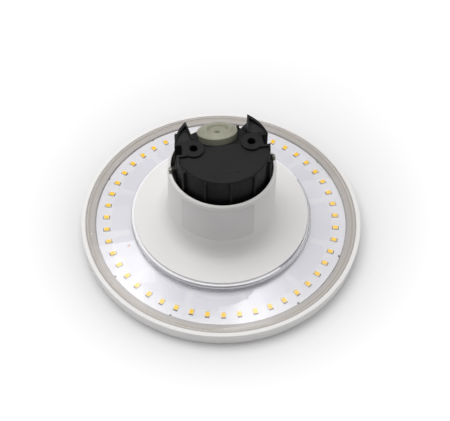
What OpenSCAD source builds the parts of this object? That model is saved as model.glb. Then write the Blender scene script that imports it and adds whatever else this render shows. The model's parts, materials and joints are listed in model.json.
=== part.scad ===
// Round wall light with a ring of light-emitting chips on its back edge.
// The light lies face-down: z = 0 is the front face, +Z points to the wall.
// The X axis runs through the two wall-screw holes. Sizes are in millimetres.

/* [Front disc] */
// Diameter of the whole lamp
lamp_d = 180; // [178:1:186]
// Height of the raised outer rim
rim_h = 9.4; // [9.2:0.1:10.5]
// Width of the rim's flat top
rim_w = 2.8; // [2.4:0.1:3.2]
// Thickness of the front disc
disc_t = 2.4; // [2:0.1:2.8]

/* [Light ring] */
// Number of chips on the ring
led_n = 48; // [24:1:60]
// Radius of the circle the chips sit on
led_r = 74.04; // [70:0.5:76]
// Direction of the first chip, degrees from +X
led_a0 = 5.9; // [0:0.1:7.4]
// Chip length, along the radius
led_l = 3.5; // [3:0.1:3.8]
// Chip width, along the circle
led_w = 2.8; // [2.4:0.1:3]
// Outer radius of the ring board
board_ro = 80.7; // [79.5:0.1:80.8]
// Height of the ring board's face
board_z = 6.5; // [6.3:0.1:6.6]

/* [Clear cover] */
// Radius of the cover's raised inner step
step_r = 57.8; // [57.2:0.1:59]
// Height of the top of the step
step_z = 13.0; // [12.5:0.1:13.2]
// Thickness of the clear cover
cover_t = 1.2; // [1:0.1:1.2]

/* [Neck] */
// Outer radius of the neck at its rim
neck_r = 33.0; // [32.6:0.1:33.6]
// Inner radius of the neck
neck_ri = 31.0; // [30.8:0.1:31.2]
// Height of the neck's rim
neck_z = 59.3; // [58.8:0.1:59.8]
// Radius of the flange round the neck
flange_r = 55.8; // [54.5:0.1:56.4]
// Height of the flange's face
flange_z = 14.3; // [14:0.1:14.8]
// Radius of the blend between neck and flange
blend_r = 9; // [6:0.5:12]

/* [Wall base] */
// Radius of the base's side wall
base_r = 28.3; // [28:0.1:28.6]
// Height of the base's flat plate
plate_z = 75.9; // [75.5:0.1:76.2]
// Height of the screw bosses and the horn floors
boss_z = 77.4; // [77.2:0.1:77.6]
// Height of the horn rims, which rest on the wall
horn_z = 78.2; // [78:0.1:78.6]
// Height of the base's lower end, inside the neck
base_z0 = 44; // [42:0.5:46]
// Distance between the two wall-screw holes
wall_screw_pitch = 34.6; // [34:0.1:35]
// Diameter of the wall-screw holes
wall_screw_d = 4.9; // [4.4:0.1:5]
// Tilt of the cable entry's face, degrees
entry_tilt = 23.6; // [20:0.1:26]

/* [Cable grommet] */
// Radius of the grommet's outer lip
grommet_r = 12.4; // [12:0.1:12.6]
// Height of the grommet's side wall
grommet_h = 4.4; // [4:0.1:4.6]
// Radius of the pilot hole in the grommet's skin
pilot_r = 1.4; // [1.2:0.1:1.8]

/* [Set screws] */
// Thread diameter of the set screws
set_d = 4; // [3.8:0.1:4]
// Length of the set screws
set_l = 12; // [11:0.5:13]
// Height of the set screws' axis
set_z = 60.2; // [60:0.1:60.4]

/* [Hidden] */
$fn = 96;
lamp_r = lamp_d / 2;
rim_ri = lamp_r - rim_w;
cover_r = rim_ri - 1.4;            // outer radius of the clear cover
cover_z = 8.9;                     // upper face of its flat part
pad_t = 0.3;                       // thermal pad
board_t = 1.6;                     // ring board
seat_z = board_z - board_t - pad_t;
board_ri = 50.2;
gasket_t = 0.3;
neck_draft = tan(1.5);
blend_z = flange_z + blend_r;
neck_rb = neck_r + (neck_z - blend_z) * neck_draft;
ledge_z = 8;                       // underside of the neck's floor
ledge_t = 2.5;
fix_r = 26;                        // circle of the four housing screws
bx = wall_screw_pitch / 2;
boss_r = 6.4;                      // screw bosses
horn_r = base_r - 0.05;            // the horns stand a hair inside the side wall
recess_z = boss_z - 1.4;           // recessed floors of the horns
set_x = 32.6;                      // outer end of a set screw
entry_x = -0.3;                    // centre of the cable entry, on the slope
entry_y = 14.9;
entry_z = 67.32;

// points of an arc, for turned profiles
function arc(cx, cy, r, a0, a1, n = 5) =
    [for (i = [0 : n]) let (a = a0 + (a1 - a0) * i / n) [cx + r * cos(a), cy + r * sin(a)]];

// a round wire swept along points, closed at both ends
function unit(v) = v / norm(v);
function wire_ring(p, t, r, n) =
    let (u = unit(cross(t, abs(t[0]) < 0.9 ? [1, 0, 0] : [0, 1, 0])), w = cross(t, u))
    [for (k = [0 : n - 1]) p + r * cos(360 * k / n) * u + r * sin(360 * k / n) * w];
function tang(p, i) = unit(p[min(i + 1, len(p) - 1)] - p[max(i - 1, 0)]);
// a smooth curve through the given points
function cr(p0, p1, p2, p3, t) = 0.5 * (2 * p1 + (p2 - p0) * t
    + (2 * p0 - 5 * p1 + 4 * p2 - p3) * t * t + (3 * p1 - p0 - 3 * p2 + p3) * t * t * t);
function smooth(p, m) = [for (i = [0 : len(p) - 2], k = [0 : m - 1])
    cr(p[max(i - 1, 0)], p[i], p[i + 1], p[min(i + 2, len(p) - 1)], k / m), p[len(p) - 1]];
module wire(pts, r, n = 8) {
    m = len(pts);
    v = [for (i = [0 : m - 1]) each wire_ring(pts[i], tang(pts, i), r, n)];
    f = concat([[for (k = [0 : n - 1]) k]],
        [for (i = [0 : m - 2], k = [0 : n - 1])
            [i * n + k, (i + 1) * n + k, (i + 1) * n + (k + 1) % n, i * n + (k + 1) % n]],
        [[for (k = [n - 1 : -1 : 0]) (m - 1) * n + k]]);
    polyhedron(v, f, convexity = 6);
}

module tube(ro, ri, z0, z1) {
    translate([0, 0, z0]) difference() {
        cylinder(r = ro, h = z1 - z0);
        translate([0, 0, -1]) cylinder(r = ri, h = z1 - z0 + 2);
    }
}

// ---------------------------------------------------------------- lamp

// die-cast front disc: flat face, drafted rim, raised seat for the ring board
module front_housing() {
    color([0.93, 0.93, 0.92]) difference() {
        union() {
            rotate_extrude() polygon(concat(
                [[0, 0]],
                arc(lamp_r - 1.3, 0.8, 0.8, -90, -5, 4),
                [[lamp_r, rim_h - 0.4]],
                arc(lamp_r - 0.4, rim_h - 0.4, 0.4, 0, 90, 3),
                arc(rim_ri + 0.4, rim_h - 0.4, 0.4, 90, 180, 3),
                [[rim_ri, disc_t], [82, disc_t], [82, seat_z], [54, seat_z], [54, disc_t],
                 [0, disc_t]]));
            for (a = [45 : 90 : 315]) rotate(a) translate([fix_r, 0, disc_t - 0.1])
                cylinder(r = 4, h = ledge_z - disc_t + 0.1);
            // eight ribs on the back of the disc
            for (a = [0 : 45 : 315]) rotate(a) translate([28.5, -0.9, disc_t - 0.1])
                cube([15.5, 1.8, 1.9]);
        }
        for (a = [45 : 90 : 315]) rotate(a) translate([fix_r, 0, 1.9])
            cylinder(r = 1.55, h = 8, $fn = 32);
    }
}

module thermal_pad() {
    color([0.6, 0.62, 0.68]) tube(80.4, 54.8, seat_z, seat_z + pad_t);
}

// ring board with eight break-off nibs on its edge
module led_board() {
    color([0.9, 0.9, 0.94]) difference() {
        union() {
            tube(board_ro, board_ri, board_z - board_t, board_z);
            for (q = [0 : 3], s = [-1, 1]) rotate(41.5 + 90 * q + s * 16)
                translate([board_ro - 0.4, -0.7, board_z - board_t]) cube([0.8, 1.4, board_t]);
        }
        // two small holes beside the pads where the leads are soldered
        for (s = [-1, 1]) rotate(150) translate([55.2, s * 4, 0])
            cylinder(r = 0.8, h = 10, $fn = 24);
        // notch in the inner edge where the leads come up
        rotate(150) translate([46, -2.6, 0]) cube([8.2, 5.2, 10]);
    }
}

module on_ring() { for (i = [0 : led_n - 1]) rotate(led_a0 + i * 360 / led_n) translate([led_r, 0, board_z]) children(); }

module led_packages() {
    color([0.96, 0.95, 0.9]) on_ring() difference() {
        translate([-led_l / 2, -led_w / 2, 0]) cube([led_l, led_w, 0.76]);
        translate([-1.4, -1.1, 0.36]) cube([2.8, 2.2, 1]);
    }
}

module led_phosphors() {
    color([0.98, 0.78, 0.3]) on_ring() translate([-1.4, -1.1, 0.36]) cube([2.8, 2.2, 0.36]);
}

module led_terminals() {
    color([0.6, 0.56, 0.52]) on_ring() for (s = [-1, 1])
        translate([s > 0 ? led_l / 2 : -led_l / 2 - 0.55, -1.1, 0]) cube([0.55, 2.2, 0.3]);
}

// clear annular cover: flat over the chips, with a raised step round the flange
module clear_cover() {
    color([0.85, 0.9, 0.95, 0.35]) rotate_extrude() polygon(concat(
        [[50, step_z - cover_t], [step_r - cover_t - 0.5, step_z - cover_t],
         [step_r - cover_t, step_z - cover_t - 0.5],
         [step_r - cover_t, board_z], [step_r, board_z], [step_r, cover_z - cover_t],
         [cover_r, cover_z - cover_t], [cover_r, cover_z - 0.4], [cover_r - 0.4, cover_z],
         [step_r + 0.5, cover_z], [step_r, cover_z + 0.5]],
        arc(step_r - 0.6, step_z - 0.6, 0.6, 0, 90, 4),
        [[50, step_z]]));
}

// silicone in the gutter round the cover, and its fillet on top
module edge_sealant() {
    color([0.7, 0.68, 0.64]) rotate_extrude() polygon([[82, disc_t], [rim_ri, disc_t],
        [rim_ri, cover_z], [rim_ri - 0.6, cover_z + 0.15], [rim_ri - 1.3, cover_z], [cover_r, cover_z],
        [cover_r, cover_z - cover_t], [81.4, cover_z - cover_t], [81.2, seat_z], [82, seat_z]]);
}

module inner_gasket() {
    color([0.25, 0.25, 0.27]) tube(flange_r - 0.2, 51, step_z, step_z + gasket_t);
}

// die-cast neck: flange over the cover's inner edge, blend, neck, floor, spigot
module neck_housing() {
    fz = step_z + gasket_t;
    color([0.93, 0.93, 0.92]) difference() {
        rotate_extrude() polygon(concat(
            [[neck_ri, ledge_z + ledge_t], [neck_ri, neck_z - 0.35]],
            arc(neck_ri + 0.35, neck_z - 0.35, 0.35, 180, 90, 3),
            arc(neck_r - 1.4, neck_z - 1.4, 1.4, 90, 0, 8),
            arc(neck_rb + blend_r, blend_z, blend_r, 180, 270, 12),
            [[flange_r - 0.25, flange_z], [flange_r, flange_z - 0.25], [flange_r, fz],
             [49.5, fz], [49.5, disc_t], [46.5, disc_t], [46.5, 11.2], [37, 11.2],
             [33.4, ledge_z], [20, ledge_z], [20, ledge_z + ledge_t]]));
        // screw holes in the floor
        for (a = [45 : 90 : 315]) rotate(a) translate([fix_r, 0, 0])
            cylinder(r = 1.7, h = 20, $fn = 32);
        // notches in the rim for the set screws
        for (s = [0, 180]) rotate(s) translate([neck_ri - 2, 0, set_z + 0.05])
            rotate([0, 90, 0]) cylinder(r = set_d / 2 + 0.1, h = 6, $fn = 48);
        // way for the two leads: a hole in the floor and a gap in the spigot's edge
        rotate(150) translate([28.5, 0, 0]) cylinder(r = 2.2, h = 20, $fn = 32);
        rotate(150) translate([40, -2.5, 0]) cube([12, 5, disc_t + 2.2]);
    }
}

module housing_screws() {
    color([0.75, 0.75, 0.77]) for (a = [45 : 90 : 315]) rotate(a) translate([fix_r, 0, 0]) difference() {
        union() {
            translate([0, 0, 2.6]) cylinder(r = 1.5, h = ledge_z + ledge_t - 2.6 + 0.5, $fn = 32);
            translate([0, 0, ledge_z + ledge_t]) cylinder(r = 2.8, h = 1.9, $fn = 32);
        }
        for (b = [0, 90]) rotate(b) translate([-1.7, -0.3, ledge_z + ledge_t + 0.9]) cube([3.4, 0.6, 2]);
    }
}

// driver: a cup on the neck's floor with a lid
module driver_case() {
    color([0.92, 0.92, 0.9]) difference() {
        translate([0, 0, 10.5]) cylinder(r = 22, h = 16.5);
        translate([0, 0, 11.8]) cylinder(r = 20.8, h = 20);
        rotate(150) translate([18, -2.4, 15]) cube([6, 4.8, 3.6]);
    }
}

module driver_lid() {
    color([0.9, 0.9, 0.88]) difference() {
        union() {
            translate([0, 0, 27]) cylinder(r = 22, h = 1.2);
            tube(20.6, 19.6, 25.5, 27);
        }
        for (s = [-1, 1]) translate([s * 4.5, -9, 20]) cylinder(r = 1.4, h = 12, $fn = 24);
    }
}

module driver_board() {
    color([0.2, 0.5, 0.3]) difference() {
        translate([0, 0, 13]) cylinder(r = 20.4, h = 1.6);
        for (s = [-1, 1]) {
            translate([s * 4.5, -9, 10]) cylinder(r = 0.6, h = 12, $fn = 24);
            rotate(150) translate([17.5, s * 1.3, 10]) cylinder(r = 0.6, h = 12, $fn = 24);
        }
    }
    // four feet under the board
    color([0.2, 0.5, 0.3]) for (a = [0 : 90 : 270]) rotate(a + 15) translate([16, 0, 11.8])
        cylinder(r = 1.2, h = 1.2, $fn = 24);
}

module driver_inductor() {
    color([0.25, 0.22, 0.2]) translate([7, 8, 14.6]) {
        cylinder(r = 5.5, h = 1, $fn = 48);
        translate([0, 0, 1]) cylinder(r = 4.4, h = 7, $fn = 48);
        translate([0, 0, 8]) cylinder(r = 5.5, h = 1, $fn = 48);
    }
}

module driver_capacitors() {
    color([0.15, 0.2, 0.35]) {
        translate([-6.5, 9.5, 14.6]) cylinder(r = 4, h = 10, $fn = 48);
        translate([11, -8.5, 14.6]) cylinder(r = 3.2, h = 8, $fn = 48);
    }
}

module driver_rectifier() {
    color([0.1, 0.1, 0.1]) {
        translate([-14.5, -7, 14.6]) cube([6.2, 4.8, 2.4]);
        translate([-2.5, -1.5, 14.6]) cube([5, 4, 1.6]);
    }
}

// two leads from the driver, through the neck's floor, to the inner edge of the ring board
led_route = [[17.5, 14.6], [17.5, 16.2], [18.8, 17], [21, 17], [23.5, 16.6], [25.8, 15.2], [27.6, 13], [28.5, 10.5],
    [28.5, 8], [29.2, 5.6], [31.5, 4.1], [36, 3.6], [44, 3.6], [49.2, 3.7], [51.2, 4.6], [51.7, 6.5],
    [52.2, 8.3], [53.6, 9.1], [54.9, 8.2], [55, 6.5]];
module led_leads() {
    color([0.75, 0.15, 0.12]) for (s = [-1, 1]) rotate(150)
        wire(smooth([for (p = led_route) [p[0], s * 1.3, p[1]]], 2), 0.6);
}

// two leads from the driver up to the terminal block, with slack for lifting the base off
lead_route = [[4.5, -9, 14.6], [4.5, -9, 22], [4.5, -9, 29], [4, -8, 33], [3, -1, 36], [2.4, 8, 38.5],
    [2.4, 12, 42], [3, 8, 46], [4, -3, 48.5], [4.5, -13, 50], [4.5, -20, 53], [4.5, -23, 58.5], [4.5, -22, 63],
    [4.5, -19, 65], [4.5, -16.5, 65]];
module supply_leads() {
    color([0.45, 0.3, 0.2]) for (s = [-1, 1])
        wire(smooth([for (p = lead_route) [s * p[0], p[1], p[2]]], 3), 0.95);
}

// blank silver sticker on the near side of the neck
module rating_label() {
    z0 = 28; z1 = 55.6; t = 0.12;
    r0 = neck_r + (neck_z - z0) * neck_draft; r1 = neck_r + (neck_z - z1) * neck_draft;
    color([0.7, 0.7, 0.7]) rotate(-146.5) rotate_extrude(angle = 81.5)
        polygon([[r0, z0], [r0 + t, z0], [r1 + t, z1], [r1, z1]]);
}

// ---------------------------------------------------------------- wall base

// plan of the open slope between the two horns
module slope_plan(e = 0) {
    polygon([[-19.6 - e, 40], [-18.8 - e, 21.1], [-16.5 - e, 6.4], [-16.5 - e, 0.9 - e],
             [16.5 + e, 0.9 - e], [16.5 + e, 6.4], [18.8 + e, 21.1], [19.6 + e, 40]]);
}

// everything above the slope, moved by h along its normal
module above_slope(h = 0) {
    translate([0, entry_y, entry_z]) rotate([-entry_tilt, 0, 0]) translate([-45, -60, h]) cube([90, 120, 60]);
}

module in_entry() { translate([entry_x, entry_y, entry_z]) rotate([-entry_tilt, 0, 0]) children(); }

// plan of one horn floor with its boss, on the +X side
module horn_plan() {
    intersection() {
        circle(r = horn_r);
        union() {
            translate([bx, 0]) circle(r = boss_r);
            polygon([[bx, 0], [22, 0], [22, -5.2], [26.6, -5.2], [26.6, -8], [40, -8], [40, 40],
                     [21.5, 40], [18.8, 21.1], [16.5, 6.4], [16.5, 3]]);
        }
    }
}

// inner side of a horn's curved rim, which thickens towards the tip
module horn_inner_arc() { translate([1.14, -1.62]) circle(r = 26.7); }

module horn_rim_plan() {
    difference() {
        intersection() {
            circle(r = horn_r);
            polygon([[16.5, 6.4], [18.8, 21.1], [21.5, 40], [40, 40], [40, 3.6], [21, 3.6]]);
        }
        intersection() {
            horn_inner_arc();
            polygon([[12, 0], [12, 6.4], [17.5, 6.4], [19.8, 21.1], [22.5, 40], [40, 40], [40, 0]]);
        }
    }
}

// plan of the recess in a horn floor, a strip inside its rims
module horn_recess_plan() {
    difference() {
        intersection() {
            horn_inner_arc();
            polygon([[17.5, 6.4], [19.8, 21.1], [22.5, 40], [40, 40], [40, 6.4]]);
        }
        translate([bx, 0]) circle(r = boss_r + 0.9);
    }
}

module wall_base() {
    color([0.16, 0.16, 0.17]) difference() {
        union() {
            difference() {
                union() {
                    // plate and side wall
                    translate([0, 0, base_z0]) cylinder(r = base_r, h = 75.2 - base_z0);
                    translate([0, 0, 75.2]) cylinder(r1 = base_r, r2 = 27.6, h = plate_z - 75.2);
                    // horns
                    for (m = [0, 1]) mirror([m, 0, 0]) {
                        translate([0, 0, 70]) linear_extrude(boss_z - 70) horn_plan();
                        translate([0, 0, 70]) linear_extrude(horn_z - 70) horn_rim_plan();
                    }
                }
                // open slope between the horns
                intersection() {
                    difference() {
                        translate([0, 0, 50]) linear_extrude(40) slope_plan();
                        for (s = [-1, 1]) translate([s * bx, 0, 40]) cylinder(r = boss_r, h = 60);
                    }
                    above_slope(0);
                }
                // hollow inside
                difference() {
                    translate([0, 0, base_z0 - 1]) cylinder(r = base_r - 2, h = 75 - base_z0 + 1);
                    translate([-40, -40, plate_z - 2.4]) cube([80, 40.9, 20]);
                    intersection() {
                        translate([0, 0, 40]) linear_extrude(60) slope_plan(1.4);
                        above_slope(-2.4);
                    }
                }
            }
            // ribs round the side wall; the four by the screws are wider
            for (k = [1 : 11]) if (k != 6) rotate(k * 30) {
                big = (k == 1 || k == 5 || k == 7 || k == 11);
                w = big ? 1.7 : 1.2;
                ztop = (k > 1 && k < 5) ? 61 : 74.8;
                translate([base_r - 0.6, -w / 2, base_z0]) cube([big ? 2.6 : 2.0, w, ztop - base_z0]);
            }
            for (s = [-1, 1]) {
                // screw bosses
                translate([s * bx, 0, 67]) cylinder(r = boss_r, h = boss_z - 67);
                // nut pocket walls
                intersection() {
                    translate([0, 0, 54]) cylinder(r = base_r, h = 21);
                    translate([s > 0 ? 22.6 : -32.6, -5, 54]) cube([10, 10, 21]);
                }
            }
            // gussets between the slope and the feet of the horns
            for (m = [0, 1]) mirror([m, 0, 0]) intersection() {
                translate([0, 0, 55]) cylinder(r = base_r, h = 23);
                translate([0, 30, 0]) rotate([90, 0, 0]) linear_extrude(13)
                    polygon([[14.9, 61], [14.9, 61.9], [15.8, 63.4], [18.6, 69.9], [19.2, 69.9], [19.2, 61]]);
            }
            // small post beside the grommet
            translate([13.0, 22.6, 60]) cube([1.7, 1.7, 5.7]);
            // seat of the terminal block
            translate([-4, -15, 70.5]) cube([8, 8, 4]);
        }
        // recessed floors of the horns, sloping down from the bosses
        for (m = [0, 1]) mirror([m, 0, 0]) intersection() {
            translate([0, 0, recess_z]) linear_extrude(5) horn_recess_plan();
            translate([0, 5.2, boss_z]) rotate([-9, 0, 0]) translate([-40, -4, 0]) cube([80, 50, 12]);
        }
        // short slot in one horn floor
        translate([22.45, 2.7, boss_z - 0.8]) cube([0.6, 2.6, 2]);
        for (s = [-1, 1]) {
            // wall-screw holes with room for the heads
            translate([s * bx, 0, 60]) cylinder(d = wall_screw_d, h = 20, $fn = 48);
            translate([s * bx, 0, 60]) cylinder(r = 4.4, h = 13, $fn = 48);
            // nut pockets, open at the wall end and outwards above the nut
            translate([s > 0 ? 24.05 : -27.3, -3.55, set_z - 4.1]) cube([3.25, 7.1, 30]);
            translate([s > 0 ? 27.2 : -32.2, -3.55, 66]) cube([5, 7.1, 30]);
            // set-screw holes
            translate([s > 0 ? 20 : -32, 0, set_z]) rotate([0, 90, 0]) cylinder(r = set_d / 2 + 0.15, h = 12, $fn = 48);
        }
        // hole for the grommet
        in_entry() translate([0, 0, -8]) cylinder(r = 9, h = 16, $fn = 64);
        // pilot hole of the terminal block's screw
        translate([0, -11, 66]) cylinder(r = 1.1, h = 9, $fn = 24);
    }
}

// rubber grommet: thick lip, cone, raised ring, recess with a thin skin and a pilot hole
module cable_grommet() {
    color([0.6, 0.61, 0.55]) in_entry() rotate_extrude() polygon([
        [pilot_r, 3.2], [pilot_r, 4.0], [5.3, 4.0], [6.0, 4.6], [6.5, grommet_h + 1.8], [6.8, grommet_h + 2.1],
        [9.0, grommet_h + 2.1], [9.5, grommet_h + 1.8], [grommet_r - 0.35, grommet_h + 0.2],
        [grommet_r, grommet_h - 0.2], [grommet_r - 0.5, 0], [9.0, 0], [9.0, -2.4], [10.4, -2.4], [10.0, -4.4],
        [7.6, -4.4], [7.0, 2.0], [5.8, 3.2]]);
}

// terminal block under the plate
module terminal_block() {
    color([0.9, 0.9, 0.86]) difference() {
        translate([-10, -19, 59.5]) cube([20, 16, 11]);
        for (s = [-1, 1]) {
            translate([s * 4.9 - 2.75, -18, 62]) cube([5.5, 14, 6]);
            translate([s * 4.9, -20, 65]) rotate([-90, 0, 0]) cylinder(r = 1.8, h = 18, $fn = 32);
            for (y = [-15, -7]) translate([s * 4.9, y, 58]) cylinder(r = 1.8, h = 5, $fn = 32);
        }
        translate([0, -11, 58]) cylinder(r = 1.5, h = 20, $fn = 32);
    }
}

module terminal_clamps() {
    color([0.8, 0.65, 0.3]) for (s = [-1, 1]) difference() {
        translate([s * 4.9 - 2.75, -18, 62]) cube([5.5, 14, 6]);
        translate([s * 4.9, -20, 65]) rotate([-90, 0, 0]) cylinder(r = 1.6, h = 18, $fn = 32);
        for (y = [-15, -7]) translate([s * 4.9, y, 58]) cylinder(r = 1.3, h = 6, $fn = 32);
    }
}

module terminal_screws() {
    color([0.75, 0.75, 0.77]) for (s = [-1, 1], y = [-15, -7]) translate([s * 4.9, y, 60]) difference() {
        cylinder(r = 1.25, h = 3.2, $fn = 32);
        translate([-2, -0.25, -0.1]) cube([4, 0.5, 0.9]);
    }
}

module terminal_fixing_screw() {
    color([0.75, 0.75, 0.77]) translate([0, -11, 0]) difference() {
        union() {
            translate([0, 0, 58]) cylinder(r = 2.6, h = 1.5, $fn = 32);
            translate([0, 0, 59]) cylinder(r = 1.1, h = 15, $fn = 32);
        }
        for (b = [0, 90]) rotate(b) translate([-1.6, -0.3, 57.9]) cube([3.2, 0.6, 0.8]);
    }
}

// square-cut hexagon nuts held in the base's pockets
module set_screw_nuts() {
    color([0.75, 0.75, 0.77]) for (s = [-1, 1]) translate([s > 0 ? 24.07 : -27.27, 0, set_z]) rotate([0, 90, 0])
        difference() {
            cylinder(r = 3.5 / cos(30), h = 3.2, $fn = 6);
            translate([0, 0, -1]) cylinder(r = set_d / 2 + 0.05, h = 6, $fn = 48);
        }
}

// slotted set screw with bevelled ends, drawn on the +X side
module set_screw() {
    translate([set_x - set_l, 0, set_z]) difference() {
        rotate([0, 90, 0]) rotate_extrude($fn = 48) polygon([[0, 0], [1.4, 0], [set_d / 2, 0.6],
            [set_d / 2, set_l - 0.4], [set_d / 2 - 0.4, set_l], [0, set_l]]);
        translate([set_l - 1.2, -2.5, -0.3]) cube([2, 5, 0.6]);
    }
}

module set_screw_left() { color([0.72, 0.7, 0.62]) mirror([1, 0, 0]) set_screw(); }
module set_screw_right() { color([0.72, 0.7, 0.62]) set_screw(); }

front_housing();
thermal_pad();
led_board();
led_packages();
led_phosphors();
led_terminals();
clear_cover();
edge_sealant();
inner_gasket();
neck_housing();
housing_screws();
driver_case();
driver_lid();
driver_board();
driver_inductor();
driver_capacitors();
driver_rectifier();
led_leads();
supply_leads();
rating_label();
wall_base();
cable_grommet();
terminal_block();
terminal_clamps();
terminal_screws();
terminal_fixing_screw();
set_screw_nuts();
set_screw_left();
set_screw_right();
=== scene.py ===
import bpy, bmesh, json, math
from math import sin, cos, pi, radians, sqrt
from mathutils import Matrix, Vector


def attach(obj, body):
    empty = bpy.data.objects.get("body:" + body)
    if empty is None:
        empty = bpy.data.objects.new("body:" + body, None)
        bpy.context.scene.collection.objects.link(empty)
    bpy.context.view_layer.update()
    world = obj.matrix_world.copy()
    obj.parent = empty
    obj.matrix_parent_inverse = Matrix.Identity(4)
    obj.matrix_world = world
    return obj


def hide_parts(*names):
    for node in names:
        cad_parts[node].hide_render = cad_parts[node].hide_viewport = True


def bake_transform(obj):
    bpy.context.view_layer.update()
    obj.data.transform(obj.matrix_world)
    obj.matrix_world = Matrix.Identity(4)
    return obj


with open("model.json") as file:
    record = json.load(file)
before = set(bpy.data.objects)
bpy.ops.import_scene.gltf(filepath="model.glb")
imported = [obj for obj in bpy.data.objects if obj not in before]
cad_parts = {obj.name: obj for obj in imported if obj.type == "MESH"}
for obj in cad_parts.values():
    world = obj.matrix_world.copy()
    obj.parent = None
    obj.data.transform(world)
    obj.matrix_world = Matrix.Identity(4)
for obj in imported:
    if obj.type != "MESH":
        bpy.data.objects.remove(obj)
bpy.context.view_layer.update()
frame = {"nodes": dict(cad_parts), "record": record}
nodes = frame["nodes"]
scene = bpy.context.scene
MM = 0.001

# ---------------------------------------------------------------- camera
AZ, EL, ROLL = radians(-11.5), radians(52.666), radians(1.4697)
back = Vector((sin(AZ) * cos(EL), -cos(AZ) * cos(EL), sin(EL)))
right = Vector((cos(AZ), sin(AZ), 0))
up = back.cross(right)
cam_r = right * cos(ROLL) + up * sin(ROLL)
cam_u = up * cos(ROLL) - right * sin(ROLL)
cam_data = bpy.data.cameras.new("camera")
cam_data.sensor_fit = "HORIZONTAL"
cam_data.sensor_width = 36.0
cam_data.lens = 913.45 / 450 * 36.0
cam_data.clip_start, cam_data.clip_end = 0.02, 20
cam = bpy.data.objects.new("camera", cam_data)
scene.collection.objects.link(cam)
m = Matrix.Identity(4)
for i in range(3):
    m[i][0], m[i][1], m[i][2] = cam_r[i], cam_u[i], back[i]
m.translation = Vector((-68.64, -349.40, 480.56)) * MM
cam.matrix_world = m
scene.camera = cam
scene.view_settings.view_transform = "Standard"
scene.view_settings.look = "None"


# ---------------------------------------------------------------- shader helpers
class Mat:
    """A node material: a Principled shader, and short calls that add pattern nodes to it."""

    def __init__(self, name, color, rough=0.5, metal=0.0, **sockets):
        self.m = bpy.data.materials.new(name)
        self.m.use_nodes = True
        self.nt = self.m.node_tree
        self.p = self.nt.nodes["Principled BSDF"]
        self.out = self.nt.nodes["Material Output"]
        self.p.inputs["Base Color"].default_value = (*color, 1)
        self.p.inputs["Roughness"].default_value = rough
        self.p.inputs["Metallic"].default_value = metal
        for k, v in sockets.items():
            self.p.inputs[k.replace("_", " ")].default_value = v
        self.co = None

    def n(self, kind, **props):
        node = self.nt.nodes.new(kind)
        for k, v in props.items():
            setattr(node, k, v)
        return node

    def link(self, a, b):
        self.nt.links.new(a, b)

    def coords(self):
        if self.co is None:
            self.co = self.n("ShaderNodeTexCoord").outputs["Object"]
        return self.co

    def noise(self, scale, detail=2.0, rough=0.5, stretch=None):
        t = self.n("ShaderNodeTexNoise")
        t.inputs["Scale"].default_value = scale
        t.inputs["Detail"].default_value = detail
        t.inputs["Roughness"].default_value = rough
        src = self.coords()
        if stretch:
            mp = self.n("ShaderNodeMapping")
            mp.inputs["Scale"].default_value = stretch
            self.link(src, mp.inputs["Vector"])
            src = mp.outputs["Vector"]
        self.link(src, t.inputs["Vector"])
        return t.outputs["Fac"]

    def math(self, op, a, b=None, c=None, clamp=False):
        t = self.n("ShaderNodeMath", operation=op, use_clamp=clamp)
        for i, v in enumerate((a, b, c)):
            if v is None:
                continue
            if isinstance(v, (int, float)):
                t.inputs[i].default_value = v
            else:
                self.link(v, t.inputs[i])
        return t.outputs[0]

    def ramp(self, fac, stops, mode="LINEAR"):
        t = self.n("ShaderNodeValToRGB")
        cr = t.color_ramp
        cr.interpolation = mode
        while len(cr.elements) < len(stops):
            cr.elements.new(0.5)
        for e, (pos, col) in zip(cr.elements, stops):
            e.position = pos
            e.color = (*col, 1)
        self.link(fac, t.inputs["Fac"])
        return t.outputs["Color"]

    def mix(self, fac, a, b, mode="MIX"):
        t = self.n("ShaderNodeMix", data_type="RGBA", blend_type=mode)
        for v, i in ((fac, 0), (a, 6), (b, 7)):
            if isinstance(v, (int, float)):
                t.inputs[i].default_value = v
            elif isinstance(v, tuple):
                t.inputs[i].default_value = (*v, 1)
            else:
                self.link(v, t.inputs[i])
        return t.outputs[2]

    def xyz(self):
        t = self.n("ShaderNodeSeparateXYZ")
        self.link(self.coords(), t.inputs[0])
        return t.outputs

    def radius(self):
        """Distance from the Z axis, in millimetres."""
        x, y, _ = self.xyz()
        return self.math("MULTIPLY", self.math("SQRT", self.math("ADD", self.math("MULTIPLY", x, x), self.math("MULTIPLY", y, y))), 1000.0)

    def angle(self):
        """Angle round the Z axis, in degrees."""
        x, y, _ = self.xyz()
        return self.math("MULTIPLY", self.math("ARCTAN2", y, x), 180 / pi)

    def color(self, out):
        self.link(out, self.p.inputs["Base Color"])

    def rough(self, out, low, high):
        t = self.n("ShaderNodeMapRange")
        t.inputs["To Min"].default_value = low
        t.inputs["To Max"].default_value = high
        t.inputs["From Min"].default_value = 0.3
        t.inputs["From Max"].default_value = 0.7
        self.link(out, t.inputs["Value"])
        self.link(t.outputs[0], self.p.inputs["Roughness"])

    def bump(self, height, distance, strength=1.0):
        t = self.n("ShaderNodeBump")
        t.inputs["Strength"].default_value = strength
        t.inputs["Distance"].default_value = distance
        self.link(height, t.inputs["Height"])
        self.link(t.outputs["Normal"], self.p.inputs["Normal"])


# ---------------------------------------------------------------- mesh helpers
def arc_pts(cx, cy, r, a0, a1, n):
    return [(cx + r * cos(radians(a0 + (a1 - a0) * i / n)), cy + r * sin(radians(a0 + (a1 - a0) * i / n))) for i in range(n + 1)]


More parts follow.
